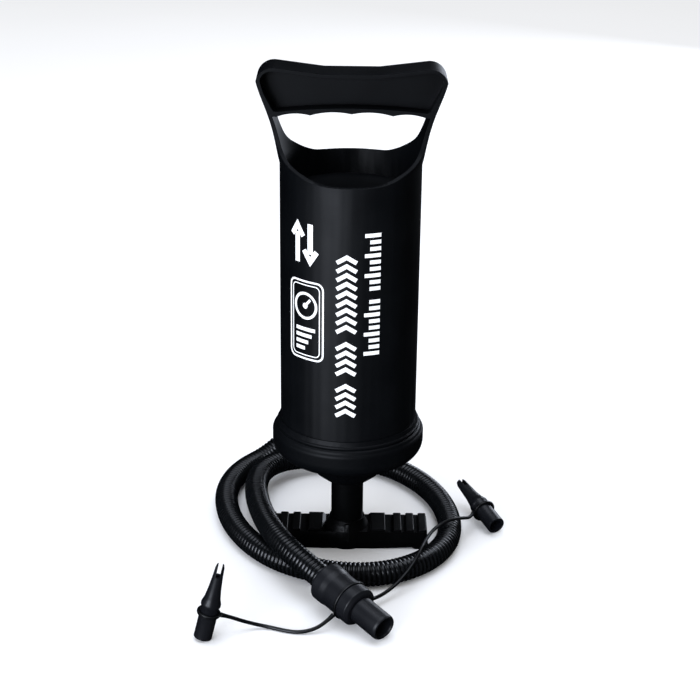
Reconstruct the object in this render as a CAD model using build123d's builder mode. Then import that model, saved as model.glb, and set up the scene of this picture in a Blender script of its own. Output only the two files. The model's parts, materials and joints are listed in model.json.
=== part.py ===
"""Double-action hand air pump with a step-on foot plate, a corrugated hose and two valve adapters.

The pump axis is Z. The origin is on the underside of the foot plate, X runs along the plate and
-Y is the front. The rod and piston stand on the foot plate, and the barrel with its handle slides
over them, so both strokes push air down the gap between the two tubes to the port in the collar.
"""

import os
from math import pi, radians, tan

from build123d import *

# ------------------------------------------------------------------ driving dimensions, mm
overall_height = 305.0      # floor to the top of the handle, pump closed
foot_width = 101.0
foot_depth = 23.6
tread_height = 13.2
tread_rib = 1.6             # how far the ribs stand above the plate
rod_radius = 10.0
rod_wall = 2.2
shell_radius = 41.4         # outside of the barrel
shell_wall = 2.2
liner_radius = 37.5         # outside of the inner cylinder
liner_wall = 1.8
collar_radius = 46.4
collar_floor_z = 62.0       # underside of the collar
collar_wall = 2.6
grip_half_width = 54.6
grip_half_depth = 12.0
grip_web = 3.2
lip_z = 244.0               # lowest point of the scoop under the handle
deck_z = 230.0              # floor of the scoop
stroke = 110.0
hose_radius = 7.5
hose_wall = 1.2
nozzle_radius = 8.0
nozzle_bore = 5.6
cuff_radius = 12.0
tether_radius = 1.1
valve_lift = 1.5

# ------------------------------------------------------------------ named clearances, mm
slide_gap = 0.05            # radial, rod in bush and seal in cylinder
seat_gap = 0.05             # between pieces that are pushed together
free_gap = 0.25             # round pieces that must not rub

# ------------------------------------------------------------------ heights that follow
port_z = collar_floor_z + 11.0
collar_top_z = collar_floor_z + 26.0
head_flange = 4.0
head_spigot = 4.0
lower_head_z = collar_floor_z + 10.0                   # underside of the lower head
lower_face_z = lower_head_z + head_flange + head_spigot
plenum = 6.0
deck = 2.4
upper_head_z = deck_z - deck - plenum                  # top of the upper head
upper_face_z = upper_head_z - head_flange - head_spigot
liner_bore = liner_radius - liner_wall
disc_thick = 1.4
piston_thick = 12.0
bumper_thick = 2.0
piston_top_z = upper_face_z - disc_thick - valve_lift - bumper_thick - 0.6
piston_low_z = piston_top_z - piston_thick
shell_bore = shell_radius - shell_wall
print("room under the piston at full stroke", round(piston_low_z - bumper_thick - lower_face_z - stroke, 2))

os.makedirs("parts", exist_ok=True)


def finish(builder, name):
    """Names a finished piece and writes it."""
    builder.part.label = name
    export_step(builder.part, f"parts/{name}.step")


def ring(inner, outer, low, high):
    """A plain ring about the pump axis."""
    with BuildPart() as made:
        with BuildSketch(Plane.XY.offset(low)):
            Circle(outer)
            Circle(inner, mode=Mode.SUBTRACT)
        extrude(amount=high - low)
    return made


# ================================================================== foot plate
hub_radius = rod_radius + 1.8
socket_floor = 4.0
hub_top_z = tread_height + 4.5
plate_z = tread_height - tread_rib
rib_width = 5.0
rib_pitch = 7.9
wide_rib_start = 15.4       # from the axis to the wide rib's flat top
wide_rib = 8.8
pin_radius = 1.75
pin_z = 9.0

with BuildPart() as foot_plate:
    with BuildSketch(Plane.XY):
        RectangleRounded(foot_width, foot_depth, 2.5)
    extrude(amount=plate_z)
    # base flange that stands a little proud of the sides
    with BuildSketch(Plane.XY):
        RectangleRounded(foot_width + 1.6, foot_depth + 1.2, 3.0)
    extrude(amount=2.6)
    # the underside stands on its middle and its two ends
    with BuildSketch(Plane.XZ):
        for side in (-1, 1):
            with BuildLine():
                Polyline((side * 16, 0), (side * 41, 1.4), (side * 43, 0), close=True)
            make_face()
    extrude(amount=foot_depth, both=True, mode=Mode.SUBTRACT)
    # treads: one wide rib that slopes to the hub, then narrow ones to each end
    for side in (-1, 1):
        with BuildSketch(Plane.XZ):
            with BuildLine():
                Polyline((side * (wide_rib_start - 3.2), plate_z - 1), (side * wide_rib_start, tread_height),
                         (side * (wide_rib_start + wide_rib), tread_height),
                         (side * (wide_rib_start + wide_rib), plate_z - 1), close=True)
            make_face()
        extrude(amount=foot_depth / 2 - 0.3, both=True)
        with BuildSketch(Plane.XY.offset(plate_z - 0.5)):
            for rib in range(3):
                rib_x = foot_width / 2 - rib_width / 2 - 0.4 - rib * rib_pitch
                with Locations((side * rib_x, 0)):
                    RectangleRounded(rib_width, foot_depth - 0.6, 0.8)
        extrude(amount=tread_rib + 0.5)
    fillet(foot_plate.edges().filter_by_position(Axis.Z, tread_height - 0.01, tread_height + 0.01), 0.5)
    # hub with a flared foot and a socket for the rod
    with BuildSketch(Plane.XZ):
        with BuildLine():
            Polyline((0, 0), (hub_radius + 1.9, 0), (hub_radius + 1.9, plate_z),
                     (hub_radius, plate_z + 3), (hub_radius - 0.8, hub_top_z), (0, hub_top_z), close=True)
        make_face()
    revolve(axis=Axis.Z)
    # small upright gusset at the front of the hub
    with BuildSketch(Plane.YZ):
        with BuildLine():
            Polyline((-hub_radius + 2, hub_top_z - 0.6), (-hub_radius - 0.4, hub_top_z - 1.4),
                     (-hub_radius - 3.4, 6.6), (-hub_radius + 2, 6.6), close=True)
        make_face()
    extrude(amount=1.55, both=True)
    with BuildSketch(Plane.XY.offset(socket_floor)):
        Circle(rod_radius + seat_gap)
    extrude(amount=hub_top_z, mode=Mode.SUBTRACT)
    # hole for the cross pin, blind from the rear
    with BuildSketch(Plane.XZ.offset(-foot_depth)):
        with Locations((0, pin_z)):
            Circle(pin_radius + 0.02)
    extrude(amount=foot_depth + rod_radius - 0.5, mode=Mode.SUBTRACT)
finish(foot_plate, "foot_plate")

# ================================================================== rod and its cross pin
rod_top_z = piston_low_z + 4.0
with BuildPart() as piston_rod:
    with BuildSketch(Plane.XY.offset(socket_floor)):
        Circle(rod_radius)
        Circle(rod_radius - rod_wall, mode=Mode.SUBTRACT)
    extrude(amount=rod_top_z - socket_floor)
    with BuildSketch(Plane.XZ.offset(-foot_depth)):
        with Locations((0, pin_z)):
            Circle(pin_radius + 0.02)
    extrude(amount=foot_depth + rod_radius + 2, mode=Mode.SUBTRACT)
finish(piston_rod, "piston_rod")

with BuildPart() as rod_pin:
    with BuildSketch(Plane.XZ.offset(-foot_depth / 2)):
        with Locations((0, pin_z)):
            Circle(pin_radius)
    extrude(amount=foot_depth / 2 + rod_radius - 0.6)
finish(rod_pin, "rod_pin")

# ================================================================== plug in the rod's top end
plug_radius = rod_radius - rod_wall - seat_gap
screw_radius = 2.0
with BuildPart() as rod_end_plug:
    with BuildSketch(Plane.XY.offset(rod_top_z - 18)):
        Circle(plug_radius)
        Circle(screw_radius + 0.02, mode=Mode.SUBTRACT)
    extrude(amount=18)
finish(rod_end_plug, "rod_end_plug")

# ================================================================== piston, seal, screw, bumpers
piston_radius = liner_bore - free_gap
seal_section = 1.6
seal_z = (piston_low_z + piston_top_z) / 2
screw_head = 4.2
with BuildPart() as piston:
    with BuildSketch(Plane.XY.offset(piston_low_z)):
        Circle(piston_radius)
    extrude(amount=piston_thick)
    # seat for the rod below
    with BuildSketch(Plane.XY.offset(piston_low_z)):
        Circle(rod_radius + seat_gap)
    extrude(amount=rod_top_z - piston_low_z, mode=Mode.SUBTRACT)
    # hollows that keep the walls even, above and below
    with BuildSketch(Plane.XY.offset(piston_low_z)):
        Circle(piston_radius - 4.5)
        Circle(rod_radius + 3.5, mode=Mode.SUBTRACT)
    extrude(amount=3.5, mode=Mode.SUBTRACT)
    # seat for the washer and the screw
    with BuildSketch(Plane.XY.offset(piston_top_z - 4.0)):
        Circle(7.2)
    extrude(amount=4.0, mode=Mode.SUBTRACT)
    with BuildSketch(Plane.XY.offset(piston_low_z)):
        Circle(screw_radius + 0.2)
    extrude(amount=piston_thick, mode=Mode.SUBTRACT)
    # groove for the sliding seal
    with BuildSketch(Plane.XY.offset(seal_z - seal_section - 0.1)):
        Circle(piston_radius + 1)
        Circle(liner_bore - 2 * seal_section - 0.1, mode=Mode.SUBTRACT)
    extrude(amount=2 * seal_section + 0.2, mode=Mode.SUBTRACT)
    # seat for the upper bumper
    with BuildSketch(Plane.XY.offset(piston_top_z - 0.8)):
        Circle(26.0)
        Circle(20.0, mode=Mode.SUBTRACT)
    extrude(amount=0.8, mode=Mode.SUBTRACT)
    fillet(piston.edges().filter_by(GeomType.CIRCLE).group_by(Axis.Z)[-1].sort_by(SortBy.LENGTH)[-1], 1.0)
finish(piston, "piston")

with BuildPart() as piston_seal:
    with BuildSketch(Plane.XZ):
        with Locations((liner_bore - slide_gap - seal_section, seal_z)):
            Circle(seal_section)
    revolve(axis=Axis.Z)
finish(piston_seal, "piston_seal")

finish(ring(screw_radius + 0.2, 7.0, piston_top_z - 4.0, piston_top_z - 3.0), "piston_washer")

with BuildPart() as piston_screw:
    with BuildSketch(Plane.XY.offset(piston_top_z - 3.0)):
        Circle(screw_head)
    extrude(amount=2.6)
    fillet(piston_screw.edges().group_by(Axis.Z)[-1], 1.2)
    with BuildSketch(Plane.XY.offset(piston_top_z - 0.4)):
        Rectangle(4.4, 1.1)
        Rectangle(1.1, 4.4)
    extrude(amount=-1.5, mode=Mode.SUBTRACT)
    with BuildSketch(Plane.XY.offset(piston_top_z - 3.0)):
        Circle(screw_radius)
    extrude(amount=-20)
finish(piston_screw, "piston_screw")

finish(ring(20.1, 25.9, piston_top_z - 0.8, piston_top_z + bumper_thick), "upper_bumper")
finish(ring(rod_radius + slide_gap, rod_radius + 3.4, piston_low_z - bumper_thick, piston_low_z),
       "lower_bumper")

# ================================================================== check valves
disc_radius = 8.0
stem_radius = 1.5
knob_radius = 2.3
upper_valve_x = 19.0
lower_valve_x = 22.0
hole_ring = 4.4


def valve(x, seat_z, way, wall):
    """A rubber disc on the face at seat_z that opens along way, its stem through the wall behind."""
    with BuildPart() as made:
        with BuildSketch(Plane.XY.offset(seat_z)):
            with Locations((x, 0)):
                Circle(disc_radius)
        extrude(amount=way * disc_thick)
        with BuildSketch(Plane.XY.offset(seat_z)):
            with Locations((x, 0)):
                Circle(stem_radius)
        extrude(amount=-way * (wall + valve_lift + 0.2))
        with BuildSketch(Plane.XY.offset(seat_z - way * (wall + valve_lift + 0.1))):
            with Locations((x, 0)):
                Circle(knob_radius)
        extrude(amount=-way * 1.2)
    return made


def valve_holes(x, low, high):
    """Cuts a stem hole with five air holes round it from the head that is being built."""
    with BuildSketch(Plane.XY.offset(low)) as holes:
        with Locations((x, 0)):
            Circle(stem_radius + 0.25)
            with PolarLocations(hole_ring, 5):
                Circle(1.6)
    extrude(holes.sketch, amount=high - low, mode=Mode.SUBTRACT)


valve_wall = 2.4
# ================================================================== upper head
boss_radius = 9.5
boss_bore = 7.6
gasket_thick = 1.0
with BuildPart() as upper_head:
    with BuildSketch(Plane.XY.offset(upper_head_z - head_flange)):
        Circle(liner_radius)
    extrude(amount=head_flange)
    with BuildSketch(Plane.XY.offset(upper_face_z)):
        Circle(liner_bore - seat_gap)
        Circle(liner_bore - 4.5, mode=Mode.SUBTRACT)
    extrude(amount=head_spigot)
    # groove for the cylinder seal
    with BuildSketch(Plane.XY.offset(upper_face_z + 1.0)):
        Circle(liner_bore + 1)
        Circle(liner_bore - 2.0, mode=Mode.SUBTRACT)
    extrude(amount=1.8, mode=Mode.SUBTRACT)
    # pockets that thin the flange to the valve wall
    with BuildSketch(Plane.XY.offset(upper_head_z - head_flange)):
        with Locations((upper_valve_x, 0)):
            Circle(disc_radius + 1.5)
    extrude(amount=head_flange - valve_wall, mode=Mode.SUBTRACT)
    with BuildSketch(Plane.XY.offset(upper_head_z - head_flange + valve_wall)):
        with Locations((-upper_valve_x, 0)):
            Circle(boss_radius + seat_gap)
    extrude(amount=head_flange, mode=Mode.SUBTRACT)
    for valve_x in (-upper_valve_x, upper_valve_x):
        valve_holes(valve_x, upper_head_z - head_flange - 1, upper_head_z + 1)
finish(upper_head, "upper_head")
upper_intake_seat = upper_head_z - head_flange
finish(valve(-upper_valve_x, upper_intake_seat, -1, valve_wall), "upper_intake_valve")
finish(valve(upper_valve_x, upper_head_z, 1, valve_wall), "upper_outlet_valve")
finish(ring(liner_bore - 1.95, liner_bore - seat_gap, upper_face_z + 1.05, upper_face_z + 2.75),
       "upper_cylinder_seal")

# ================================================================== inner cylinder
liner_low_z = lower_head_z + head_flange
liner_top_z = upper_head_z - head_flange
finish(ring(liner_bore, liner_radius, liner_low_z, liner_top_z), "inner_cylinder")

# ================================================================== lower head
bush_radius = rod_radius + 2.4
with BuildPart() as lower_head:
    with BuildSketch(Plane.XY.offset(lower_head_z)):
        Circle(liner_radius)
    extrude(amount=head_flange)
    with BuildSketch(Plane.XY.offset(lower_head_z + head_flange)):
        Circle(liner_bore - seat_gap)
        Circle(liner_bore - 4.5, mode=Mode.SUBTRACT)
    extrude(amount=head_spigot)
    with BuildSketch(Plane.XY.offset(lower_head_z + head_flange)):
        Circle(rod_radius + 3.4)
    extrude(amount=head_spigot)
    with BuildSketch(Plane.XY.offset(lower_face_z - 2.8)):
        Circle(liner_bore + 1)
        Circle(liner_bore - 2.0, mode=Mode.SUBTRACT)
    extrude(amount=1.8, mode=Mode.SUBTRACT)
    with BuildSketch(Plane.XY.offset(lower_head_z)):
        Circle(rod_radius + free_gap)
    extrude(amount=20, mode=Mode.SUBTRACT)
    with BuildSketch(Plane.XY.offset(lower_head_z)):
        with Locations((-lower_valve_x, 0)):
            Circle(boss_radius + seat_gap)
    extrude(amount=head_flange - valve_wall, mode=Mode.SUBTRACT)
    with BuildSketch(Plane.XY.offset(lower_head_z + valve_wall)):
        with Locations((lower_valve_x, 0)):
            Circle(disc_radius - 1.0)
    extrude(amount=head_flange - valve_wall, mode=Mode.SUBTRACT)
    for valve_x in (-lower_valve_x, lower_valve_x):
        valve_holes(valve_x, lower_head_z - 1, lower_head_z + head_flange + 1)
finish(lower_head, "lower_head")
lower_intake_seat = lower_head_z + head_flange
finish(valve(-lower_valve_x, lower_intake_seat, 1, valve_wall), "lower_intake_valve")
finish(valve(lower_valve_x, lower_head_z, -1, valve_wall), "lower_outlet_valve")
finish(ring(liner_bore - 1.95, liner_bore - seat_gap, lower_face_z - 2.75, lower_face_z - 1.05),
       "lower_cylinder_seal")

# ================================================================== collar: the end cap of the barrel
shell_low_z = collar_floor_z + 17.0
port_x = 8.0
port_radius = 9.8
port_bore = 7.2
port_end_y = 57.0
bush_low_z = collar_floor_z - 15.0
bush_high_z = collar_floor_z - 2.0
floor_top_z = collar_floor_z + collar_wall
inner_wall = collar_radius - collar_wall
gland_bottom_z = collar_floor_z - 17.5
post_ring = 33.5
post_radius = 2.2

with BuildPart() as collar:
    with BuildSketch(Plane.XZ):
        with BuildLine():
            top = (shell_radius + 0.9, collar_top_z)
            bead = (shell_radius + 1.6, collar_top_z - 2.6)
            groove = (shell_radius + 2.1, collar_top_z - 4.8)
            step = (collar_radius - 1.1, collar_top_z - 7.0)
            skirt = (collar_radius, collar_top_z - 9.8)
            turn = (collar_radius, collar_floor_z + 11.0)
            heel = (collar_radius - 8.4, collar_floor_z + 1.8)
            Line((shell_radius + seat_gap, collar_top_z), top)
            Line(top, bead)
            ThreePointArc(bead, (bead[0] + 0.9, bead[1] - 1.1), groove)
            ThreePointArc(groove, (groove[0] + 1.2, groove[1] - 0.8), (step[0] - 0.2, step[1] + 0.5))
            Line((step[0] - 0.2, step[1] + 0.5), step)
            ThreePointArc(step, (skirt[0] - 0.3, step[1] - 1.0), skirt)
            Line(skirt, turn)
            ThreePointArc(turn, (collar_radius - 2.2, collar_floor_z + 5.3), heel)
            Line(heel, (32, collar_floor_z))
            Polyline((32, collar_floor_z), (27.5, collar_floor_z - 2.0), (20, collar_floor_z - 12.0),
                     (14.5, collar_floor_z - 16.5), (rod_radius + 2.6, gland_bottom_z),
                     (rod_radius + free_gap, gland_bottom_z), (rod_radius + free_gap, bush_low_z),
                     (bush_radius + seat_gap, bush_low_z), (bush_radius + seat_gap, floor_top_z),
                     (inner_wall - 6, floor_top_z), (inner_wall, floor_top_z + 6),
                     (inner_wall, shell_low_z - 1.6), (shell_bore + 1.0, shell_low_z - 1.6),
                     (shell_bore + 1.0, shell_low_z), (shell_radius + seat_gap, shell_low_z),
                     (shell_radius + seat_gap, shell_low_z + 2.0),
                     (shell_radius + seat_gap + 0.6, shell_low_z + 2.4),
                     (shell_radius + seat_gap + 0.6, shell_low_z + 3.6),
                     (shell_radius + seat_gap, shell_low_z + 4.0), (shell_radius + seat_gap, collar_top_z))
        make_face()
    revolve(axis=Axis.Z)
    # posts that carry the lower head, and the intake tube between them
    with BuildSketch(Plane.XY.offset(floor_top_z - 0.5)):
        with PolarLocations(post_ring, 6, start_angle=30):
            Circle(post_radius)
    extrude(amount=lower_head_z - floor_top_z + 0.5)
    with BuildSketch(Plane.XY.offset(collar_floor_z + 0.5)):
        with Locations((-lower_valve_x, 0)):
            Circle(boss_radius)
    extrude(amount=lower_head_z + head_flange - valve_wall - gasket_thick - collar_floor_z - 0.5)
    with BuildSketch(Plane.XY.offset(collar_floor_z - 12)):
        with Locations((-lower_valve_x, 0)):
            Circle(boss_bore)
    extrude(amount=30, mode=Mode.SUBTRACT)
    # port for the hose at the back
    with BuildSketch(Plane((port_x, port_end_y, port_z), x_dir=(1, 0, 0), z_dir=(0, -1, 0))):
        Circle(port_radius)
    extrude(amount=port_end_y - inner_wall + 3.0)
    with BuildSketch(Plane((port_x, port_end_y, port_z), x_dir=(1, 0, 0), z_dir=(0, -1, 0))):
        Circle(port_bore)
    extrude(amount=port_end_y - inner_wall + 8.0, mode=Mode.SUBTRACT)
finish(collar, "collar")

# ================================================================== gland in the collar
finish(ring(rod_radius + slide_gap, bush_radius, bush_low_z, bush_high_z), "gland_bush")
finish(ring(rod_radius + slide_gap, bush_radius, bush_high_z + 0.2, bush_high_z + 2.2), "rod_seal")
finish(ring(rod_radius + free_gap, bush_radius + seat_gap, bush_high_z + 2.4, floor_top_z), "gland_retainer")

# ================================================================== gaskets between tubes and heads
for gasket_name, gasket_x, gasket_z in (
    ("upper_intake_gasket", -upper_valve_x, upper_head_z - head_flange + valve_wall),
    ("lower_intake_gasket", -lower_valve_x, lower_head_z + head_flange - valve_wall - gasket_thick),
):
    with BuildPart() as gasket:
        with BuildSketch(Plane.XY.offset(gasket_z)):
            with Locations((gasket_x, 0)):
                Circle(boss_radius)
                Circle(boss_bore, mode=Mode.SUBTRACT)
        extrude(amount=gasket_thick)
    finish(gasket, gasket_name)

# ================================================================== barrel shell with its handle
arm_low_z = lip_z + 4.0
grip_top_z = overall_height
grip_dip_z = overall_height - 3.5
grip_under_z = overall_height - 27.8
arm_sections = [
    (0.0, 0.0, 0.0), (0.25, 0.20, 0.25), (0.55, 0.53, 0.55), (0.80, 0.88, 0.8), (1.02, 0.96, 1.0),
]


def arm_loft(inset):
    """Lofts the flaring upper end of the barrel as ellipses, inset by a wall, in the current part."""
    sketches = []
    for up, out, deep in arm_sections:
        z = arm_low_z + up * (overall_height - arm_low_z)
        a = shell_radius + out * (grip_half_width + 1.4 - shell_radius) - inset
        b = shell_radius + deep * 20.0 - inset
        with BuildSketch(Plane.XY.offset(z)) as section:
            Ellipse(a, b)
        sketches.append(section.sketch)
    return sketches


with BuildPart() as grip:
    loft(arm_loft(0.1))
    with BuildSketch(Plane.XZ):
        with BuildLine():
            cusps = [(-grip_half_width, 0), (-42.5, 0), (-23.5, 1.0), (0, 1.9), (23.5, 1.0), (42.5, 0),
                     (grip_half_width, 0)]
            for (x0, z0), (x1, z1) in zip(cusps, cusps[1:]):
                start = (x0, grip_under_z + z0)
                end = (x1, grip_under_z + z1)
                if abs(x0 + x1) > 80:
                    Line(start, end)
                else:
                    ThreePointArc(start, ((x0 + x1) / 2, grip_under_z + (z0 + z1) / 2 + 1.5), end)
            Polyline((grip_half_width, grip_under_z), (grip_half_width, grip_top_z),
                     (44, grip_top_z), (16, grip_dip_z), (-16, grip_dip_z), (-44, grip_top_z),
                     (-grip_half_width, grip_top_z), (-grip_half_width, grip_under_z))
        make_face()
    extrude(amount=grip_half_depth, both=True, mode=Mode.INTERSECT)
    # recessed panel on the front and the back
    for side in (-1, 1):
        with BuildSketch(Plane.XZ.offset(-side * (grip_web / 2))) as panel:
            with BuildLine():
                Polyline((-44.2, grip_under_z + 2.6), (-52.0, grip_under_z + 17.5), (-52.0, grip_top_z - 2.0),
                         (-43.6, grip_top_z - 2.0), (-16, grip_dip_z - 2.0), (16, grip_dip_z - 2.0),
                         (43.6, grip_top_z - 2.0), (52.0, grip_top_z - 2.0), (52.0, grip_under_z + 17.5),
                         (44.2, grip_under_z + 2.6))
                ThreePointArc((44.2, grip_under_z + 2.6), (0, grip_under_z + 5.2), (-44.2, grip_under_z + 2.6))
            make_face()
            corners = panel.vertices().filter_by(lambda v: abs(v.X) > 50 and v.Y > grip_top_z - 5)
            fillet(corners, 6.5)
            corners = panel.vertices().filter_by(lambda v: abs(v.X) > 40 and v.Y < grip_under_z + 5)
            fillet(corners, 3.0)
        extrude(amount=-side * (grip_half_depth + 10), mode=Mode.SUBTRACT)

with BuildPart() as barrel_shell:
    with BuildSketch(Plane.XY.offset(shell_low_z)):
        Circle(shell_radius)
    extrude(amount=arm_low_z - shell_low_z)
    loft(arm_loft(0))
    # bore below the deck and above it
    with BuildSketch(Plane.XY.offset(shell_low_z)):
        Circle(shell_bore)
    extrude(amount=deck_z - deck - shell_low_z, mode=Mode.SUBTRACT)
    with BuildSketch(Plane.XY.offset(deck_z)):
        Circle(shell_bore)
    extrude(amount=arm_low_z - deck_z, mode=Mode.SUBTRACT)
    loft(arm_loft(shell_wall), mode=Mode.SUBTRACT)
    # the scoop: the wall falls away in front and behind, and leaves an arm on each side
    for side, lip, slope in (
        (-1, lip_z, [(30.0, 3.4), (18.0, 10.4)]),
        (1, lip_z + 0.9, [(33.0, 1.3), (24.0, 7.7), (grip_half_depth + 3.6, 15.9), (grip_half_depth + 0.4, 23.7)]),
    ):
        edge = [(shell_radius + 0.5, lip)] + [(y, lip + up) for y, up in slope]
        edge.append((grip_half_depth, lip_z + 33.0))
        with BuildSketch(Plane.YZ):
            with BuildLine():
                Spline(*[(side * y, z) for y, z in edge], tangents=[(-side, 0), (0, 1)])
                Polyline((side * grip_half_depth, lip_z + 33.0), (side * grip_half_depth, overall_height + 9),
                         (side * 90, overall_height + 9), (side * 90, lip), (side * (shell_radius + 0.5), lip))
            make_face()
        extrude(amount=90, both=True, mode=Mode.SUBTRACT)
    add(grip.part)
    # outline of the handle's top, seen from the front
    with BuildSketch(Plane.XZ) as outline:
        with BuildLine():
            Polyline((-grip_half_width, 0), (-grip_half_width, grip_top_z), (-44, grip_top_z),
                     (-16, grip_dip_z), (16, grip_dip_z), (44, grip_top_z), (grip_half_width, grip_top_z),
                     (grip_half_width, 0), close=True)
        make_face()
        fillet(outline.vertices().filter_by(lambda v: abs(v.X) > 50 and v.Y > 100), 10.2)
        fillet(outline.vertices().filter_by(lambda v: abs(v.X) < 20), 30)
    extrude(amount=90, both=True, mode=Mode.INTERSECT)
    # posts that hold the upper head down, and the intake tube
    with BuildSketch(Plane.XY.offset(upper_head_z)):
        with PolarLocations(post_ring, 6, start_angle=30):
            Circle(post_radius)
    extrude(amount=plenum + 0.5)
    with BuildSketch(Plane.XY.offset(upper_head_z - head_flange + valve_wall + gasket_thick)):
        with Locations((-upper_valve_x, 0)):
            Circle(boss_radius)
    extrude(amount=deck_z - deck - upper_head_z + head_flange - valve_wall - gasket_thick + 0.5)
    with BuildSketch(Plane.XY.offset(upper_head_z - 5)):
        with Locations((-upper_valve_x, 0)):
            Circle(boss_bore)
    extrude(amount=40, mode=Mode.SUBTRACT)
    # snap bead that holds the collar
    with BuildSketch(Plane.XZ):
        with BuildLine():
            Polyline((shell_radius - 0.5, shell_low_z + 2.0), (shell_radius, shell_low_z + 2.2),
                     (shell_radius + 0.5, shell_low_z + 2.6), (shell_radius + 0.5, shell_low_z + 3.4),
                     (shell_radius, shell_low_z + 3.8), (shell_radius - 0.5, shell_low_z + 4.0), close=True)
        make_face()
    revolve(axis=Axis.Z)
finish(barrel_shell, "barrel_shell")

# ================================================================== hose plug and its seal
plug_bore = 5.4
plug_plane = Plane((port_x, 0, port_z), x_dir=(1, 0, 0), z_dir=(0, 1, 0))
hose_start_y = port_end_y + 9.0
with BuildPart() as hose_plug:
    for low, high, radius in ((inner_wall + 1.5, port_end_y, port_bore - seat_gap),
                              (port_end_y, port_end_y + 2.5, port_radius),
                              (port_end_y + 2.5, hose_start_y, hose_radius + 1.4)):
        with BuildSketch(plug_plane.offset(low)):
            Circle(radius)
        extrude(amount=high - low)
    with BuildSketch(plug_plane.offset(inner_wall)):
        Circle(plug_bore)
    extrude(amount=40, mode=Mode.SUBTRACT)
    with BuildSketch(plug_plane.offset(inner_wall + 4)):
        Circle(port_bore + 1)
        Circle(port_bore - 0.9, mode=Mode.SUBTRACT)
    extrude(amount=2.0, mode=Mode.SUBTRACT)
finish(hose_plug, "hose_plug")
with BuildPart() as port_seal:
    with BuildSketch(plug_plane.offset(inner_wall + 4.1)):
        Circle(port_bore - 0.02)
        Circle(port_bore - 0.85, mode=Mode.SUBTRACT)
    extrude(amount=1.8)
finish(port_seal, "port_seal")

# ================================================================== free hose: its route on the floor
floor_z = hose_radius + 0.1
hose_route = [
    (port_x, hose_start_y, port_z), (port_x, hose_start_y + 15, port_z), (4.5, 95, 68.5), (-4, 105, 58),
    (-17, 109, 44), (-31, 108.5, 30), (-44, 104.5, 17.5), (-57, 97, 9), (-69, 85, floor_z),
    (-76.7, 68, floor_z), (-80, 47, floor_z), (-77.7, 24, floor_z), (-71.3, 2, floor_z),
    (-60.3, -19.5, floor_z), (-44.5, -38.3, floor_z), (-24, -51.5, floor_z), (0, -58.5, floor_z),
    (25, -56, floor_z), (47, -42.5, floor_z), (61.5, -21.5, floor_z), (66.3, 3, floor_z),
    (64.2, 27, floor_z), (57, 51, floor_z), (44, 73.5, floor_z), (26, 91, floor_z), (5, 99, floor_z),
    (-16, 98, 8.8), (-34, 92, 11.5), (-48, 81.5, 13.5), (-56.8, 67.5, 14.2), (-59.8, 50, 15),
    (-59.3, 32, 16.8), (-57, 13, 19.3), (-53.3, -6, 21.3), (-48.5, -24, 22.6), (-43, -39, 23.5),
    (-36.7, -52, 23.3), (-29.7, -62.5, 22.3), (-21.5, -72, 20.3), (-12.5, -82, 18),
]


def corner_radii(points):
    """The arc at each corner: 0.45 of the shorter run over the tangent of half the turn."""
    radii = []
    for before, corner, after in zip(points, points[1:], points[2:]):
        into = Vector(*corner) - Vector(*before)
        out = Vector(*after) - Vector(*corner)
        half_turn = radians(into.get_angle(out)) / 2
        radii.append(0.45 * min(into.length, out.length) / tan(half_turn))
    return radii


def cord(name, points, radius, bore=0.0):
    """A free tube along straight runs and tangent arcs, with its radii and volume printed."""
    radii = corner_radii(points)
    with BuildPart() as made:
        with BuildLine() as path:
            FilletPolyline(*points, radius=radii)
        start = path.line @ 0
        with BuildSketch(Plane(start, z_dir=path.line % 0)):
            Circle(radius)
            if bore:
                Circle(bore, mode=Mode.SUBTRACT)
        sweep()
    length = path.wires()[0].length
    area = pi * (radius**2 - bore**2)
    print(name, "length", round(length, 1), "tightest", round(min(radii), 1),
          "volume share", round(made.part.volume / (area * length), 4))
    finish(made, name)


cord("hose", hose_route, hose_radius, hose_radius - hose_wall)

# ================================================================== cuff and nozzle at the hose's end
cuff_start = Vector(*hose_route[-1])
cuff_way = (cuff_start - Vector(*hose_route[-2])).normalized()
cuff_length = 32.0
nozzle_length = 52.4
ring_at = 21.5
ring_thick = 1.8
cuff_plane = Plane(cuff_start, z_dir=cuff_way)


def turned(plane, points):
    """A solid of revolution about plane's Z, from (radius, distance) points."""
    with BuildPart() as made:
        with BuildSketch(Plane(plane.origin, x_dir=plane.x_dir, z_dir=-plane.y_dir)):
            with BuildLine():
                Polyline(*points, close=True)
            make_face()
        revolve(axis=Axis(plane.origin, plane.z_dir))
    return made


nozzle_seat = 14.0
nozzle_shoulder = cuff_length + 0.3
nozzle_stem = nozzle_radius - 1.0
finish(turned(cuff_plane, [
    (plug_bore, 0), (cuff_radius - 1.6, 0), (cuff_radius - 0.4, 0.7), (cuff_radius, 2.0), (cuff_radius, 8.0),
    (cuff_radius - 0.6, 11.0), (cuff_radius - 0.6, ring_at), (cuff_radius - 1.0, ring_at),
    (cuff_radius - 1.0, ring_at + ring_thick + 0.1), (cuff_radius - 0.2, ring_at + ring_thick + 0.1),
    (cuff_radius - 0.2, cuff_length - 2.0), (cuff_radius - 0.9, cuff_length - 0.6),
    (cuff_radius - 2.2, cuff_length), (nozzle_stem + seat_gap, cuff_length),
    (nozzle_stem + seat_gap, nozzle_seat), (plug_bore, nozzle_seat)]), "hose_cuff")
finish(turned(cuff_plane, [
    (nozzle_bore + 0.4, nozzle_seat), (nozzle_stem, nozzle_seat), (nozzle_stem, nozzle_shoulder),
    (nozzle_radius, nozzle_shoulder), (nozzle_radius, nozzle_length - 1.0),
    (nozzle_radius - 0.5, nozzle_length), (nozzle_bore + 0.8, nozzle_length),
    (nozzle_bore + 0.4, nozzle_length - 0.6)]), "nozzle")
ring_inner = cuff_radius - 1.0 + seat_gap
ring_outer = cuff_radius + 0.5
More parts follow.
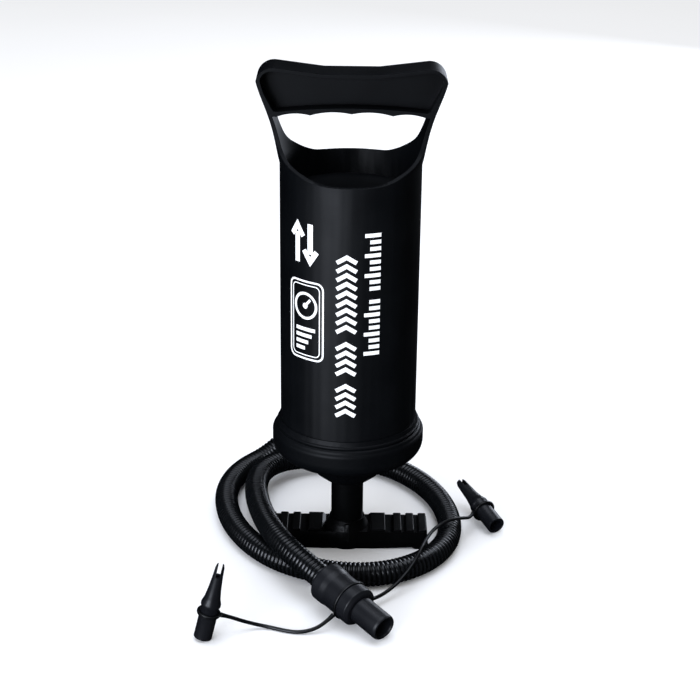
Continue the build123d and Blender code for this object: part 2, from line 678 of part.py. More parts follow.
finish(turned(cuff_plane, [
    (ring_inner, ring_at + 0.05), (ring_outer, ring_at + 0.05),
    (ring_outer, ring_at + ring_thick + 0.05), (ring_inner, ring_at + ring_thick + 0.05)]), "cuff_ring")

# ================================================================== valve adapters with forked tips
adapter_length = 48.0
adapter_ring_at = 15.4


def adapter(name, plane, base, tip, slot_way):
    """A tapered valve adapter: a tube to fit the nozzle, a shoulder, a long taper and a forked tip."""
    shoulder = base + 0.45
    made = turned(plane, [
        (base - 1.3, 0), (base, 0), (base, adapter_ring_at), (base, 20.5), (shoulder, 21.5),
        (shoulder, 22.8), (base - 0.6, 26.0), (base - 1.5, 32.0), (tip + 0.5, 39.0), (tip, 46.0),
        (tip - 0.5, adapter_length), (1.0, adapter_length), (1.0, 20.0), (base - 1.3, 19.0)])
    slot_plane = Plane(plane.origin + plane.z_dir * (adapter_length + 1), x_dir=slot_way, z_dir=-plane.z_dir)
    with BuildPart() as forked:
        add(made.part)
        with BuildSketch(slot_plane):
            Rectangle(2.4, 4 * base)
        extrude(amount=8.5, mode=Mode.SUBTRACT)
    finish(forked, name)


left_way = Vector(0.232, 0.0, 0.973).normalized()
left_plane = Plane((-81.3, -118.0, 1.35), x_dir=(0, 1, 0), z_dir=left_way)
adapter("adapter_left", left_plane, 5.3, 2.6, Vector(0, 1, 0).cross(left_way))
right_base = Vector(95.5, 8.3, 6.2)
right_way = (Vector(74.5, 50.9, 15.7) - right_base).normalized()
right_plane = Plane(right_base, x_dir=Vector(0, 0, 1).cross(right_way), z_dir=right_way)
adapter("adapter_right", right_plane, 5.7, 3.2, Vector(0, 0, 1).cross(right_way))
for eyelet_name, eyelet_plane, eyelet_inner, eyelet_outer in (
    ("eyelet_left", left_plane, 5.3 + seat_gap, 6.9), ("eyelet_right", right_plane, 5.7 + seat_gap, 7.6),
):
    finish(turned(eyelet_plane, [(eyelet_inner, adapter_ring_at), (eyelet_outer, adapter_ring_at),
                                 (eyelet_outer, adapter_ring_at + 1.8), (eyelet_inner, adapter_ring_at + 1.8)]),
           eyelet_name)

# ================================================================== tethers
tether_floor = tether_radius + 0.1
cord("tether_left", [
    (-71.0, -117.6, 15.4), (-65.5, -114.5, 12), (-59, -110.5, 7), (-51.5, -107.5, 3),
    (-43.5, -107.5, tether_floor), (-35.5, -110.8, tether_floor), (-27.5, -112.8, tether_floor),
    (-19, -112, 2.4), (-12, -109.3, 5.3), (-7.0, -105.7, 8.9)], tether_radius)
cord("tether_right", [
    (10.4, -89.9, 8.9), (15.2, -84, 6.2), (22, -77, 5.6), (29.5, -70, 8), (36.5, -63, 12.6), (42, -54.5, 17),
    (45.3, -44.5, 18.6), (48.5, -34, 18.8), (52.5, -23.5, 18.8), (58.5, -13.5, 18.8), (66, -6.5, 18.6),
    (72.8, -1.2, 16.6), (77.3, 5.3, 13.4), (79.9, 12.4, 11), (81.4, 19, 9.6)], tether_radius)
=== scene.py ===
# %% [markdown]
# # A double-action hand air pump
# The pump stands on a foot plate. Its barrel and handle slide up and down on a rod, and a
# corrugated hose with a push-on nozzle carries the air away. Two small valve adapters hang on
# tethers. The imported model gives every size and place, and this script gives it its looks.

import json
from math import cos, pi, radians, sin

import bmesh
import bpy
import numpy as np
from mathutils import Matrix, Vector

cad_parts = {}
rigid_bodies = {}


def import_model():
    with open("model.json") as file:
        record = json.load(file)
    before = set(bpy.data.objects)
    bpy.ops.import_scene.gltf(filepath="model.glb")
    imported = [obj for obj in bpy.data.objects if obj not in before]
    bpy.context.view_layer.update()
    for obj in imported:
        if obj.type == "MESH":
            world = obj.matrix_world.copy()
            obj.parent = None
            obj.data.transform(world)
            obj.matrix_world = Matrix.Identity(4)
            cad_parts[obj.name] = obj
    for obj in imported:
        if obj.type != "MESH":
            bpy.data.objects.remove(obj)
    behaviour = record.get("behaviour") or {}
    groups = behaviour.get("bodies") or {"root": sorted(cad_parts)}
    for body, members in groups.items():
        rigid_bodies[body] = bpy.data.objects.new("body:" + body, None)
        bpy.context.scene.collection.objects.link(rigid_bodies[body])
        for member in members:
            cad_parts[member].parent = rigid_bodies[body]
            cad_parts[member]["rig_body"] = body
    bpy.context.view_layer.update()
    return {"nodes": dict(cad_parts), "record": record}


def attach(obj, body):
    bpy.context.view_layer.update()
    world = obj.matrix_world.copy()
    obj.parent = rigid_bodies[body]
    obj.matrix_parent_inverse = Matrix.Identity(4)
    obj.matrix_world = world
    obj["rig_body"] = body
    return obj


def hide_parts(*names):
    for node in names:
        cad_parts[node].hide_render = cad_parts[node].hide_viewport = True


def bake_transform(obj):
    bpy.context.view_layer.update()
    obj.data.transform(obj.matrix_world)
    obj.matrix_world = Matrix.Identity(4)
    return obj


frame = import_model()
nodes = frame["nodes"]
MM = 0.001

# %% [markdown]
# ## Camera
# The pump is seen from the front and a little above, through a long lens, so that its barrel
# hardly narrows towards the floor. The camera leans by under a degree, as a hand-held one does.

# %% Camera
AIM = np.array([0.7, 0.0, 130.1]) * MM
AIM_DISTANCE = 1.0006
LOOK_DOWN = radians(22.5)
LEAN = radians(0.68)
SENSOR_WIDTH = 36.0
FOCAL_LENGTH = 84.86
camera_data = bpy.data.cameras.new("camera")
camera_data.sensor_width = SENSOR_WIDTH
camera_data.lens = FOCAL_LENGTH
camera = bpy.data.objects.new("camera", camera_data)
bpy.context.collection.objects.link(camera)
eye = AIM + AIM_DISTANCE * np.array([0, -cos(LOOK_DOWN), sin(LOOK_DOWN)])
camera.matrix_world = (
    Matrix.Translation(eye)
    @ Matrix.Rotation(pi / 2 - LOOK_DOWN, 4, "X")
    @ Matrix.Rotation(LEAN, 4, "Z")
)
bpy.context.scene.camera = camera
bpy.context.scene.view_settings.view_transform = "Standard"
print("camera at", np.round(eye / MM))

# %% [markdown]
# ## Cords: where they lie
# The hose and the two tethers are free to lie as they fall. Each is one smooth line: an open
# NURBS spline of order 3, whose control points are the route's. A curve object could carry a
# round bevel itself, but the hose has ribs, so every cord is a tube that follows points read
# back from its spline.

# %% Routes, in millimetres
hose_route = [
    (8, 66, 73), (8, 81, 73), (4.5, 95, 68.5), (-4, 105, 58), (-17, 109, 44), (-31, 108.5, 30),
    (-44, 104.5, 17.5), (-57, 97, 9), (-69, 85, 7.6), (-76.7, 68, 7.6), (-80, 47, 7.6),
    (-77.7, 24, 7.6), (-71.3, 2, 7.6), (-60.3, -19.5, 7.6), (-44.5, -38.3, 7.6), (-24, -51.5, 7.6),
    (0, -58.5, 7.6), (25, -56, 7.6), (47, -42.5, 7.6), (61.5, -21.5, 7.6), (66.3, 3, 7.6),
    (64.2, 27, 7.6), (57, 51, 7.6), (44, 73.5, 7.6), (26, 91, 7.6), (5, 99, 7.6), (-16, 98, 8.8),
    (-34, 92, 11.5), (-48, 81.5, 13.5), (-56.8, 67.5, 14.2), (-59.8, 50, 15), (-59.3, 32, 16.8),
    (-57, 13, 19.3), (-53.3, -6, 21.3), (-48.5, -24, 22.6), (-43, -39, 23.5), (-36.7, -52, 23.3),
    (-29.7, -62.5, 22.3), (-21.5, -72, 20.3), (-12.5, -82, 18),
]
left_tether_route = [
    (-71, -117.6, 15.4), (-65.5, -114.5, 12), (-59, -110.5, 7), (-51.5, -107.5, 3),
    (-43.5, -107.5, 1.2), (-35.5, -110.8, 1.2), (-27.5, -112.8, 1.2), (-19, -112, 2.4),
    (-12, -109.3, 5.3), (-7, -105.7, 8.9),
]
right_tether_route = [
    (10.4, -89.9, 8.9), (15.2, -84, 6.2), (22, -77, 5.6), (29.5, -70, 8), (36.5, -63, 12.6),
    (42, -54.5, 17), (45.3, -44.5, 18.6), (48.5, -34, 18.8), (52.5, -23.5, 18.8),
    (58.5, -13.5, 18.8), (66, -6.5, 18.6), (72.8, -1.2, 16.6), (77.3, 5.3, 13.4),
    (79.9, 12.4, 11), (81.4, 19, 9.6),
]


# %% Reading a spline's points
SPLINE_STEPS = 24  # points read back for each control point


def centreline(route):
    """Points along the open NURBS spline of order 3 that has route's points, in mm, as its
    control points. Returns them in metres, in order."""
    curve = bpy.data.curves.new("centreline", "CURVE")
    curve.dimensions = "3D"
    curve.resolution_u = SPLINE_STEPS
    spline = curve.splines.new("NURBS")
    spline.points.add(len(route) - 1)
    weighted = np.column_stack([np.array(route, float) * MM, np.ones(len(route))])
    spline.points.foreach_set("co", weighted.ravel())
    spline.order_u = 3
    spline.use_endpoint_u = True
    holder = bpy.data.objects.new("centreline", curve)
    line = bpy.data.meshes.new_from_object(holder)
    points = np.empty(len(line.vertices) * 3)
    line.vertices.foreach_get("co", points)
    bpy.data.objects.remove(holder)
    return points.reshape(-1, 3)


def along(line, gap):
    """The same line with its points gap apart: each coordinate is read off at even lengths."""
    run = np.concatenate([[0], np.cumsum(np.linalg.norm(np.diff(line, axis=0), axis=1))])
    even = np.linspace(0, run[-1], max(int(round(run[-1] / gap)), 2) + 1)
    return np.column_stack([np.interp(even, run, line[:, k]) for k in range(3)]), even


hose_line = centreline(hose_route)
left_line = centreline(left_tether_route)
right_line = centreline(right_tether_route)
for cord_name, line in (("hose", hose_line), ("left", left_line), ("right", right_line)):
    print(cord_name, "length, mm:", round(along(line, MM)[1][-1] / MM, 1))


# %% [markdown]
# ## Surfaces
# Most new pieces are a grid of points: rows along the piece, and a closed loop of columns
# round it. One function turns such a grid into a mesh whose faces point outwards.

# %% A grid of points becomes a mesh
def surface(name, grid, ends="capped"):
    """A mesh from grid[row, column, xyz]. Columns close on themselves. The ends are capped
    with one face each, or the rows close on themselves too where ends is "joined"."""
    rows, columns = grid.shape[:2]
    index = np.arange(rows * columns).reshape(rows, columns)
    after = np.roll(index, -1, axis=1)
    if ends == "joined":
        low, low_next = index, after
        high, high_next = np.roll(index, -1, axis=0), np.roll(after, -1, axis=0)
    else:
        low, low_next, high, high_next = index[:-1], after[:-1], index[1:], after[1:]
    quads = np.stack([low, low_next, high_next, high], axis=-1).reshape(-1, 4)
    faces = quads.tolist()
    if ends == "capped":
        faces += [index[0, ::-1].tolist(), index[-1].tolist()]
    mesh = bpy.data.meshes.new(name)
    mesh.from_pydata(grid.reshape(-1, 3).tolist(), [], faces)
    mesh.polygons.foreach_set("use_smooth", [True] * len(mesh.polygons))
    outward(mesh)
    piece = bpy.data.objects.new(name, mesh)
    bpy.context.collection.objects.link(piece)
    return piece


def outward(mesh):
    """Turns the faces of a closed mesh so that they all point out of it."""
    shell = bmesh.new()
    shell.from_mesh(mesh)
    bmesh.ops.recalc_face_normals(shell, faces=shell.faces)
    shell.to_mesh(mesh)
    shell.free()


def count(piece):
    """Prints how many faces a piece has."""
    print(piece.name, len(piece.data.polygons), "faces")


# %% [markdown]
# ## Finishes
# Almost everything here is black, so what tells the pieces apart is how they shine: the barrel
# and its end cap are satin polypropylene, the cuff, nozzle and adapters are smoother ABS, and
# the hose is ribbed polyethylene with a painted highlight on its crests. A material could be one
# flat colour, but real moulded plastic has a fine grain, and its gloss wanders slowly over the
# surface, so both are in each finish.

# %% Colours and nodes
def linear(hex_colour):
    """An sRGB hex colour as the linear red, green, blue and alpha that Blender mixes."""
    channel = np.array([int(hex_colour[i : i + 2], 16) for i in (1, 3, 5)]) / 255
    flat = np.where(channel <= 0.04045, channel / 12.92, ((channel + 0.055) / 1.055) ** 2.4)
    return (*flat.tolist(), 1.0)


def add(tree, kind, values=None, links=None, **settings):
    """Adds one shader node. settings are its properties, values fill its sockets, and links
    says which output goes into which socket."""
    made = tree.nodes.new(kind)
    for name, value in settings.items():
        setattr(made, name, value)
    for name, value in (values or {}).items():
        made.inputs[name].default_value = value
    for name, output in (links or {}).items():
        tree.links.new(output, made.inputs[name])
    return made


def moulded(name, dark, light, rough, grain, bump, shine=0.5, metal=0.0, drift=22.0, stretch=None):
    """A finish with two close shades that drift into each other over drift mm, a roughness
    between the two numbers of rough, and a grain of that size in mm pressed into it by bump mm.
    stretch draws the pattern out along an axis, as extruding does. Returns the material and its
    shader."""
    material = bpy.data.materials.new(name)
    material.use_nodes = True
    tree = material.node_tree
    tree.nodes.clear()
    place = add(tree, "ShaderNodeTexCoord").outputs["Object"]
    if stretch:
        place = add(tree, "ShaderNodeMapping", {"Scale": stretch}, {"Vector": place}).outputs[0]
    slow = add(tree, "ShaderNodeTexNoise", {"Scale": 1 / (drift * MM), "Detail": 3.0},
               {"Vector": place})
    fine = add(tree, "ShaderNodeTexNoise", {"Scale": 1 / (grain * MM), "Detail": 2.0},
               {"Vector": place})
    shade = add(tree, "ShaderNodeMix", {6: linear(dark), 7: linear(light)},
                {0: slow.outputs["Fac"]}, data_type="RGBA")
    gloss = add(tree, "ShaderNodeMapRange",
                {"From Min": 0.3, "From Max": 0.7, "To Min": rough[0], "To Max": rough[1]},
                {"Value": slow.outputs["Fac"]})
    press = add(tree, "ShaderNodeBump", {"Strength": 1.0, "Distance": bump * MM},
                {"Height": fine.outputs["Fac"]})
    shader = add(tree, "ShaderNodeBsdfPrincipled",
                 {"Metallic": metal, "Specular IOR Level": shine},
                 {"Base Color": shade.outputs[2], "Roughness": gloss.outputs[0],
                  "Normal": press.outputs[0]})
    add(tree, "ShaderNodeOutputMaterial", None, {"Surface": shader.outputs[0]})
    return material


# %% Plastics, rubber and steel
# Satin polypropylene from a spark-eroded mould: near black with a little blue, soft highlights.
shell_pp = moulded("satin_polypropylene", "#030406", "#06090d", (0.46, 0.54), 0.45, 0.010,
                   shine=0.18)
# ABS from a polished mould, dulled by handling: a little greyer, with a broad soft highlight.
cap_abs = moulded("polished_abs", "#0b0c10", "#121419", (0.36, 0.44), 0.9, 0.004,
                  shine=0.4)
# Polypropylene with carbon black, moulded thick: matt and a little grey where it scuffs.
foot_pp = moulded("matt_polypropylene", "#020203", "#050506", (0.36, 0.46), 0.6, 0.012,
                  shine=0.2)
# Extruded tube: smooth, with faint lines drawn out along its length.
rod_tube = moulded("extruded_black_tube", "#020203", "#040506", (0.26, 0.36), 0.5, 0.004,
                   shine=0.2, stretch=(1, 1, 0.05))
# Plasticised PVC: soft and slightly greasy, so its highlight is broad and low.
soft_pvc = moulded("plasticised_pvc", "#050607", "#0b0c0e", (0.34, 0.44), 0.5, 0.008, shine=0.5)
# Nitrile rubber: dull and even.
nitrile = moulded("nitrile_rubber", "#0d0d0e", "#151516", (0.55, 0.68), 0.35, 0.015)
# Natural acetal: milky white with a waxy gloss.
acetal = moulded("natural_acetal", "#dedbd0", "#e9e7de", (0.26, 0.36), 0.6, 0.006)
# Extruded polycarbonate tube: pale grey, smooth and glossy.
liner_pc = moulded("extruded_pale_tube", "#a9adb1", "#b6babd", (0.12, 0.20), 0.8, 0.004,
                   stretch=(1, 1, 0.05))
# Zinc-plated steel: grey metal with a fine grain.
zinc = moulded("zinc_plated_steel", "#a9a9a6", "#bdbdb8", (0.24, 0.38), 0.25, 0.006, metal=1.0)
print("finishes:", len(bpy.data.materials))


# %% [markdown]
# The hose is blown polyethylene. Its crests are painted a lighter grey as a painted highlight,
# for the light that crests catch, while its grooves keep the black. The ribs are in the mesh,
# which carries how near each point is to a crest as an attribute, and the finish mixes its black
# with the painted highlight grey by that.

# %% Ribbed polyethylene
hose_pe = moulded("ribbed_polyethylene", "#020303", "#040505", (0.22, 0.30), 0.5, 0.004,
                  shine=0.45)
hose_tree = hose_pe.node_tree
crest_read = add(hose_tree, "ShaderNodeAttribute", attribute_name="crest")
crest_highlight_mask = add(hose_tree, "ShaderNodeMath", {1: 3.0}, {0: crest_read.outputs["Fac"]},
                  operation="POWER")
hose_shader = next(n for n in hose_tree.nodes if n.type == "BSDF_PRINCIPLED")
base_shade = hose_shader.inputs["Base Color"].links[0].from_socket
# Painted highlight: near each crest the colour goes towards a lighter grey, for the light the
# crests catch.
painted_crest_highlight = add(hose_tree, "ShaderNodeMix", {7: linear("#101215")},
                  {0: crest_highlight_mask.outputs[0], 6: base_shade}, data_type="RGBA")
hose_tree.links.new(painted_crest_highlight.outputs[2], hose_shader.inputs["Base Color"])

# %% Printing ink
# White pad-printing ink: a flat matt film.
print_ink = moulded("white_pad_print_ink", "#eef0f0", "#f7f8f8", (0.45, 0.55), 0.3, 0.004)
print("finishes:", len(bpy.data.materials))

# %% [markdown]
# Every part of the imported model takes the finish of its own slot, the hidden ones too, so a
# section through the pump would show the right materials.

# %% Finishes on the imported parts
finish_of = {
    "shell_plastic": shell_pp, "black_abs": cap_abs, "foot_plastic": foot_pp,
    "rod_plastic": rod_tube, "hose_pe": hose_pe, "soft_pvc": soft_pvc, "seal_rubber": nitrile,
    "natural_plastic": acetal, "liner_plastic": liner_pc, "steel": zinc,
}
slot_of = {part["node"]: part["material_slot"] for part in frame["record"]["subparts"]}
for name, part in nodes.items():
    part.data.materials.clear()
    part.data.materials.append(finish_of[slot_of[name]])
print("finished parts:", len(nodes))


# %% [markdown]
# ## Moulded parts with softened edges
# No moulded edge is sharp: it has a small radius, and on a black part that radius is the bright
# line that shows its shape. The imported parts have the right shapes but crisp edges. A copy of
# the part with a narrow bevel on every edge sharper than 35 degrees keeps the shape and catches
# the light, so the visible moulded parts are made that way.

# %% A part with softened edges
SHARP_EDGE = radians(35)
SAME_POINT = 0.002  # mm between points that are one
SAME_PLANE = radians(0.4)


def softened(node, radius):
    """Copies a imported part, merges its loose triangles, and rounds its edges by radius mm."""
    mesh = nodes[node].data.copy()
    shell = bmesh.new()
    shell.from_mesh(mesh)
    bmesh.ops.remove_doubles(shell, verts=shell.verts, dist=SAME_POINT * MM)
    bmesh.ops.dissolve_limit(shell, angle_limit=SAME_PLANE, verts=shell.verts,
                             edges=shell.edges)
    shell.to_mesh(mesh)
    shell.free()
    mesh.name = f"{node}_moulded"
    mesh.polygons.foreach_set("use_smooth", [True] * len(mesh.polygons))
    mesh.set_sharp_from_angle(angle=SHARP_EDGE)
    piece = bpy.data.objects.new(f"{node}_moulded", mesh)
    bpy.context.collection.objects.link(piece)
    edge = piece.modifiers.new("edge radius", "BEVEL")
    edge.width = radius * MM
    edge.segments = 2
    edge.limit_method = "ANGLE"
    edge.angle_limit = SHARP_EDGE
    edge.harden_normals = True
    stand_in(piece, node, nodes[node]["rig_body"])
    return piece


def stand_in(piece, node, body):
    """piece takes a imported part's place, body, slot and finish."""
    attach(piece, body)
    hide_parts(node)
    if not piece.data.materials:
        piece.data.materials.append(finish_of[slot_of[node]])


# %% Barrel, end cap, foot plate and adapters
for part_name, edge_radius in (
    ("barrel_shell", 0.5), ("collar", 0.3), ("foot_plate", 0.4), ("adapter_left", 0.25),
    ("adapter_right", 0.25), ("eyelet_left", 0.45), ("eyelet_right", 0.45), ("hose_plug", 0.4),
):
    count(softened(part_name, edge_radius))


# %% [markdown]
# ## Hose
# The hose is blown against a ribbed mould, with rounded crests and narrow grooves 2.8 mm apart.
# A plain tube with a bump pattern would keep a smooth outline, and the ribs show in the
# outline, so they are in the surface. Eight rows of points per rib are enough.

# %% A round tube along a line
def round_line(line, radii, sides):
    """Circles across a line. At each point the circle is radius times (cos t side + sin t up),
    where side is level and square to the line, and up is square to both."""
    way = np.gradient(line, axis=0)
    way /= np.linalg.norm(way, axis=1, keepdims=True)
    side = np.cross(way, [0.0, 0.0, 1.0])
    side /= np.linalg.norm(side, axis=1, keepdims=True)
    up = np.cross(side, way)
    turn = np.arange(sides) * 2 * pi / sides
    circle = (np.cos(turn)[None, :, None] * side[:, None, :]
              + np.sin(turn)[None, :, None] * up[:, None, :])
    return line[:, None, :] + radii[:, None, None] * circle


# %% Ribbed hose
HOSE_RADIUS = 7.5
RIB_PITCH = 2.8
RIB_DEPTH = 0.7
ROWS_PER_RIB = 8
HOSE_SIDES = 32
CREST_FULLNESS = 0.8  # below 1, a crest is round and a groove is narrow
hose_points, hose_run = along(hose_line, RIB_PITCH / ROWS_PER_RIB * MM)
crest = np.abs(np.cos(pi * hose_run / (RIB_PITCH * MM))) ** CREST_FULLNESS
hose_radii = (HOSE_RADIUS - RIB_DEPTH * (1 - crest)) * MM
hose = surface("ribbed_hose", round_line(hose_points, hose_radii, HOSE_SIDES))
# How near each point is to a crest: this sets the painted highlight in the hose finish.
crest_highlight_weight = hose.data.attributes.new("crest", "FLOAT", "POINT")
crest_highlight_weight.data.foreach_set("value", np.repeat(crest, HOSE_SIDES).astype(np.float32))
hose.data.materials.append(hose_pe)
count(hose)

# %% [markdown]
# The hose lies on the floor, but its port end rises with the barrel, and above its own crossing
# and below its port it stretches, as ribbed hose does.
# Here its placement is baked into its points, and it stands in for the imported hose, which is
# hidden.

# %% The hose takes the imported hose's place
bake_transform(hose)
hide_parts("hose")


# %% [markdown]
# ## Cuff, nozzle and ring
# These are turned shapes: a profile of radius and distance, carried round the hose's own
# direction at its end. The profile's corners are rounded first, because the moulded ones are.

# %% A turned surface
def rounded(profile, cut):
    """Rounds each corner of a closed profile: a quadratic curve from cut mm before the corner
    to cut mm after it, or nearer on a short side."""
    corner = np.array(profile, float)
    curve = []
    for other in (np.roll(corner, 1, axis=0), np.roll(corner, -1, axis=0)):
        gap = np.linalg.norm(other - corner, axis=1, keepdims=True)
        curve.append(corner + (other - corner) / gap * np.minimum(cut, 0.45 * gap))
    t = np.linspace(0, 1, 5)[None, :, None]
    before, after = curve[0][:, None, :], curve[1][:, None, :]
    return ((1 - t) ** 2 * before + 2 * t * (1 - t) * corner[:, None, :]
            + t**2 * after).reshape(-1, 2)


def turned(name, profile, origin, way, sides=96, cut=0.5):
    """A ring-shaped solid: the closed profile of (radius, distance) in mm goes once round the
    axis through origin along way."""
    outline = rounded(profile, cut)
    way = np.array(way) / np.linalg.norm(way)
    side = np.cross(way, [0.0, 0.0, 1.0])
    side /= np.linalg.norm(side)
    up = np.cross(side, way)
    turn = np.arange(sides) * 2 * pi / sides
    spoke = np.cos(turn)[:, None] * side + np.sin(turn)[:, None] * up
    grid = (np.array(origin)[None, None, :] + outline[:, 1, None, None] * way
            + outline[:, 0, None, None] * spoke[None, :, :]) * MM
    piece = surface(name, grid, ends="joined")
    flat = piece.modifiers.new("even normals", "WEIGHTED_NORMAL")
    flat.keep_sharp = True
    return piece


# %% Cuff, nozzle and ring
cuff_start = np.array(hose_route[-1], float)
cuff_way = cuff_start - np.array(hose_route[-2], float)
RING_AT = 21.5
cuff = turned("hose_cuff_turned", [
    (5.4, 0), (10.2, 0), (12.0, 1.6), (12.0, 7.6), (11.4, 11.4), (11.4, RING_AT), (11.0, RING_AT),
    (11.0, 23.4), (11.8, 23.4), (11.8, 30.2), (9.8, 32.0), (7.1, 32.0), (7.1, 14.0), (5.4, 14.0),
], cuff_start, cuff_way)
stand_in(cuff, "hose_cuff", "base")
nozzle = turned("nozzle_turned", [
    (6.0, 14.0), (7.0, 14.0), (7.0, 32.3), (8.0, 32.3), (8.0, 51.0), (7.4, 52.4), (6.5, 52.4),
    (6.0, 51.4),
], cuff_start, cuff_way, cut=0.7)
stand_in(nozzle, "nozzle", "base")
tether_ring = turned("tether_ring_turned", [
    (11.05, 21.55), (12.5, 21.55), (12.5, 23.35), (11.05, 23.35),
], cuff_start, cuff_way, cut=0.7)
stand_in(tether_ring, "cuff_ring", "base")
for turned_piece in (cuff, nozzle, tether_ring):
    count(turned_piece)

# %% [markdown]
# ## Tethers
# Each tether is one moulded PVC cord. It leaves the cuff's ring and ends in an adapter's
# eyelet, and it is thicker for a few millimetres at both ends, where it runs into the ring.

# %% Tethers
TETHER_RADIUS = 1.1
TETHER_SIDES = 20
ROOT_GROWTH = 0.3  # how much thicker a tether is where it ends
ROOT_LENGTH = 3.0  # mm over which it grows


def tether(name, node, line):
    """A round cord whose radius grows by a third towards both ends, over about 3 mm."""
    points, run = along(line, 0.5 * MM)
    from_end = np.minimum(run, run[-1] - run)
    near_end = np.exp(-((from_end / (ROOT_LENGTH * MM)) ** 2))
    radii = TETHER_RADIUS * MM * (1 + ROOT_GROWTH * near_end)
    piece = surface(name, round_line(points, radii, TETHER_SIDES))
    stand_in(piece, node, "base")
    count(piece)
    return piece, points


left_tether, left_points = tether("left_tether_cord", "tether_left", left_line)
right_tether, right_points = tether("right_tether_cord", "tether_right", right_line)


# %% [markdown]
# ## Printed marks on the barrel
# The barrel carries white pad-printed marks. Here they are plain pictograms: arrows for the two
# strokes, a pressure gauge in a frame, and two rows of chevrons and bars. Each mark is made of
# ribbons. A ribbon follows points given as millimetres round the barrel and height above the
# floor, and it is wrapped on the cylinder as a thin film.

# %% Ribbons wrapped on the barrel
BARREL_RADIUS = 41.4
INK = 0.06  # mm of film above the barrel, and as much sunk into it


def ribbon(points, width, closed=False, fill=1.2):
    """A film of that width along points (round the barrel, height) in mm, with mitred corners.
    Each side is split into short runs, so that the film follows the barrel. Its four rails are
    outer left, outer right, inner right and inner left."""
    corner = np.array(points, float)
    ahead = np.roll(corner, -1, axis=0) - corner
    if not closed:
        ahead[-1] = ahead[-2]
    ahead /= np.linalg.norm(ahead, axis=1, keepdims=True)
    behind = np.roll(ahead, 1, axis=0)
    if not closed:
        behind[0] = ahead[0]
    square = np.column_stack([-ahead[:, 1], ahead[:, 0]])
    mitre = square + np.column_stack([-behind[:, 1], behind[:, 0]])
    mitre /= np.linalg.norm(mitre, axis=1, keepdims=True)
    mitre /= np.sum(mitre * square, axis=1, keepdims=True)
    rails = np.stack([corner - mitre * width / 2, corner + mitre * width / 2], axis=1)
    if closed:
        rails = np.concatenate([rails, rails[:1]])
    span = np.concatenate([[0], np.cumsum(np.linalg.norm(np.diff(rails.mean(1), axis=0), axis=1))])
    fine = np.unique(np.concatenate([span, np.arange(0, span[-1], fill)]))
    left, right = (np.column_stack([np.interp(fine, span, rails[:, k, axis]) for axis in (0, 1)])
                   for k in (0, 1))
    flat = np.stack([left, right, right, left], axis=1)
    depth = BARREL_RADIUS + np.array([INK, INK, -INK, -INK])
    angle = flat[:, :, 0] / BARREL_RADIUS
    return np.stack([depth * np.sin(angle), -depth * np.cos(angle), flat[:, :, 1]], axis=-1) * MM


def circle_points(centre, radius, corners=40):
    """Corners of a circle about centre."""
    turn = np.arange(corners) * 2 * pi / corners
    return np.column_stack([centre[0] + radius * np.cos(turn), centre[1] + radius * np.sin(turn)])


def frame_points(low, high, radius):
    """Corners of a rectangle from low to high, with rounded corners."""
    centres = [(high[0] - radius, high[1] - radius, 0), (low[0] + radius, high[1] - radius, 1),
               (low[0] + radius, low[1] + radius, 2), (high[0] - radius, low[1] + radius, 3)]
    turn = np.linspace(0, pi / 2, 7)
    return np.concatenate([np.column_stack([x + radius * np.cos(turn + q * pi / 2),
                                            z + radius * np.sin(turn + q * pi / 2)])
                           for x, z, q in centres])


# %% The marks
ribbons = []
# two strokes: an arrow up and an arrow down
ARROW_Z = 209
HEAD_REACH = 4.4
for arrow_x, way in ((-33.5, 1), (-24.0, -1)):
    ribbons.append(ribbon([(arrow_x, ARROW_Z - way * 12), (arrow_x, ARROW_Z + way * 6)], 3.6))
    ribbons.append(ribbon([
        (arrow_x - HEAD_REACH, ARROW_Z + way * 4.0), (arrow_x, ARROW_Z + way * 10.5),
        (arrow_x + HEAD_REACH, ARROW_Z + way * 4.0),
    ], 3.2))
# a gauge in a double frame
frame_low, frame_high = np.array([-39.5, 138.0]), np.array([-15.5, 186.0])
for inset, line_width in ((0.0, 1.1), (2.2, 0.6)):
    ribbons.append(ribbon(frame_points(frame_low + inset, frame_high - inset, 4.0 - inset / 2),
                          line_width, closed=True))
dial = (-27.5, 171.0)
ribbons.append(ribbon(circle_points(dial, 7.6), 1.6, closed=True))
ribbons.append(ribbon([dial, (dial[0] + 3.6, dial[1] + 4.2)], 1.5))
ribbons.append(ribbon(circle_points(dial, 0.9, 16), 1.7, closed=True))
for row in range(4):
    bar_z = 156.5 - 4.0 * row
    ribbons.append(ribbon([(-34.5, bar_z), (-34.5 + 14.0 - 2.4 * row, bar_z)], 2.2))
# a tall row of chevrons, and a narrower row of bars
CHEVRON_PITCH, BAR_PITCH = 5.3, 4.0
for row in range(19):
    if row not in (4, 9):
        z = 105.0 + CHEVRON_PITCH * row
        ribbons.append(ribbon([(-7.4, z), (-1.7, z + 3.4), (4.0, z)], 2.5))
BAR_FOOT = 18.2  # the side that the bars stand on, mm round the barrel
for row in range(19):
    if row != 9:
        z = 144.5 + BAR_PITCH * row
        reach = 9.6 if row % 3 == 0 else 6.6
        ribbons.append(ribbon([(BAR_FOOT - reach, z), (BAR_FOOT, z)], 2.3))


# %% One mesh of ink
def printed(name, films):
    """Joins ribbons into one mesh. Each is a tube of four rails with both ends closed."""
    points, faces, first = [], [], 0
    for film in films:
        rows = len(film)
        index = first + np.arange(rows * 4).reshape(rows, 4)
        after = np.roll(index, -1, axis=1)
        quads = np.stack([index[:-1], after[:-1], after[1:], index[1:]], axis=-1)
        faces += quads.reshape(-1, 4).tolist()
        faces += [index[0, ::-1].tolist(), index[-1].tolist()]
        points.append(film.reshape(-1, 3))
        first += rows * 4
    mesh = bpy.data.meshes.new(name)
    mesh.from_pydata(np.concatenate(points).tolist(), [], faces)
    outward(mesh)
    piece = bpy.data.objects.new(name, mesh)
    bpy.context.collection.objects.link(piece)
    return piece


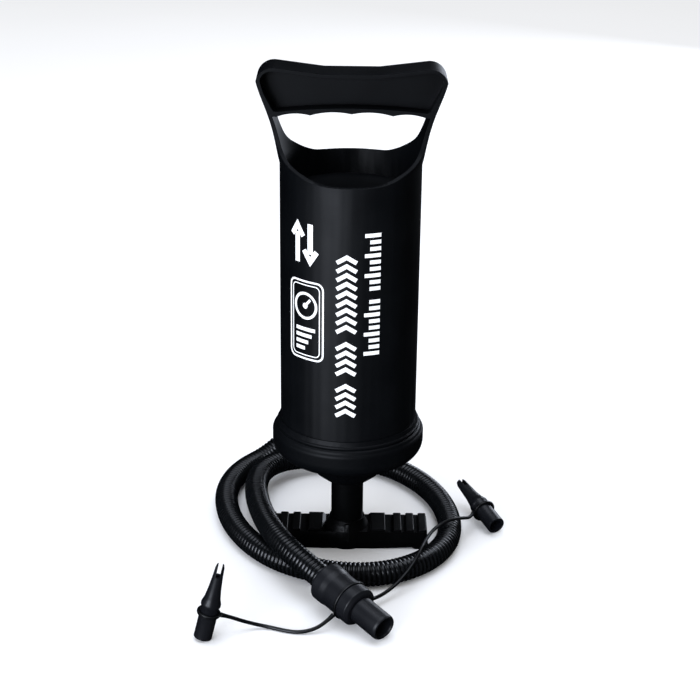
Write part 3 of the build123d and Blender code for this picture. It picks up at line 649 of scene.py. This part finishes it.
marks = printed("printed_marks", ribbons)
marks.data.materials.append(print_ink)
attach(marks, "barrel")
count(marks)

# %% [markdown]
# ## Floor and light
# The floor is a plain pale sheet. One broad soft light stands in front and a little to the
# left, a second hangs overhead, and a dim one behind lifts the edges.

# %% Floor
FLOOR = 8.0  # metres from the pump to each side of the sheet
floor_mesh = bpy.data.meshes.new("floor")
floor_mesh.from_pydata(
    [(-FLOOR, -FLOOR, 0), (FLOOR, -FLOOR, 0), (FLOOR, FLOOR, 0), (-FLOOR, FLOOR, 0)],
    [], [(0, 1, 2, 3)],
)
floor = bpy.data.objects.new("floor", floor_mesh)
bpy.context.collection.objects.link(floor)
floor_mesh.materials.append(moulded("pale_paper", "#fbfbfb", "#ffffff", (0.9, 0.95), 2.0, 0.0,
                                    shine=0.0, drift=400.0))


# %% Light
LAMP_COLOUR = "#eaf1ff"  # daylight, a little cool
SKY_STRENGTH = 0.75


def soft_light(name, place, target, size, power):
    """A square area light at place, in metres, that faces target."""
    lamp = bpy.data.lights.new(name, "AREA")
    lamp.size = size
    lamp.energy = power
    lamp.color = linear(LAMP_COLOUR)[:3]
    holder = bpy.data.objects.new(name, lamp)
    bpy.context.collection.objects.link(holder)
    away = np.array(place) - np.array(target)
    turn = Vector(away).to_track_quat("Z", "Y").to_matrix().to_4x4()
    holder.matrix_world = Matrix.Translation(place) @ turn


soft_light("key", (-0.70, -1.10, 0.30), (0, 0, 0.15), 0.8, 17.0)
soft_light("above", (0.0, 0.0, 1.7), (0, 0, 0.1), 1.4, 15.0)
soft_light("back", (0.75, 1.25, 0.45), (0, 0, 0.15), 0.6, 7.0)
world = bpy.data.worlds.new("studio")
world.use_nodes = True
sky = world.node_tree.nodes["Background"]
sky.inputs["Color"].default_value = linear("#ffffff")
sky.inputs["Strength"].default_value = SKY_STRENGTH
# The room and the floor light the pump, but only the lamps shine in its gloss, as when black
# cards stand round a black object. Otherwise its sides would mirror the pale floor.
world.cycles_visibility.glossy = False
floor.visible_glossy = False
bpy.context.scene.world = world
